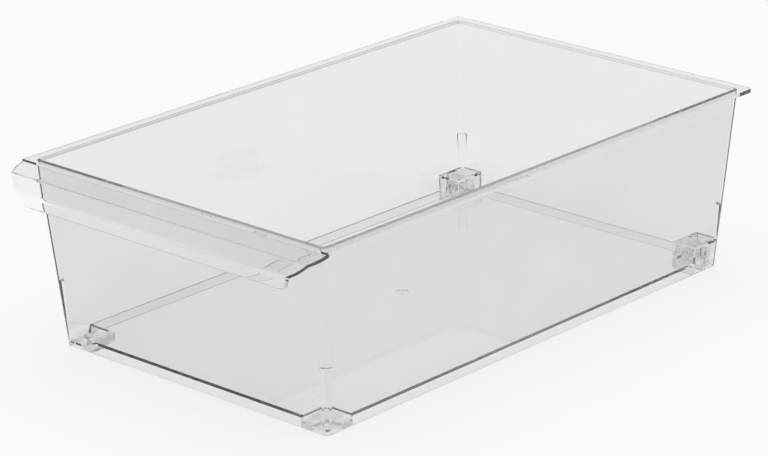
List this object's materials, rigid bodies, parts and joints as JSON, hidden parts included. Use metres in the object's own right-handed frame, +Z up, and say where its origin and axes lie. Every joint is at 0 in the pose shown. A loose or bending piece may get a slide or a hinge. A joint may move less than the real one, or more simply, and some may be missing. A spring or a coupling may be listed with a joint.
{
  "type": "refrigerator drawer bin",
  "caption": "Clear open-topped refrigerator drawer with a flat rim, a curled pull lip along the front, sunk front feet and small grooved rollers under the rear corners.",
  "frame": {"origin": "on the shelf, under the middle of the drawer's bounding box", "axes": "+X to the right for a person pulling the handle, +Y from the handle to the back, +Z up"},
  "size_m": [0.2206, 0.379, 0.1086],
  "materials": {
    "clear_body": "clear, polished",
    "clear_roller": "clear, moulded grooves",
    "clear_pin": "clear, smooth"
  },
  "bodies": {
    "bin": {"bin_body": "clear_body", "left_axle_pin": "clear_pin", "right_axle_pin": "clear_pin"},
    "left_roller": {"left_roller": "clear_roller"},
    "right_roller": {"right_roller": "clear_roller"}
  },
  "joints": [
    {"name": "left_roller_spin", "type": "hinge", "parent": "bin", "child": "left_roller", "pos_m": [-0.08905, 0.16754, 0.0073], "axis": [1, 0, 0], "continuous": true},
    {"name": "right_roller_spin", "type": "hinge", "parent": "bin", "child": "right_roller", "pos_m": [0.08905, 0.16754, 0.0073], "axis": [1, 0, 0], "continuous": true}
  ]
}
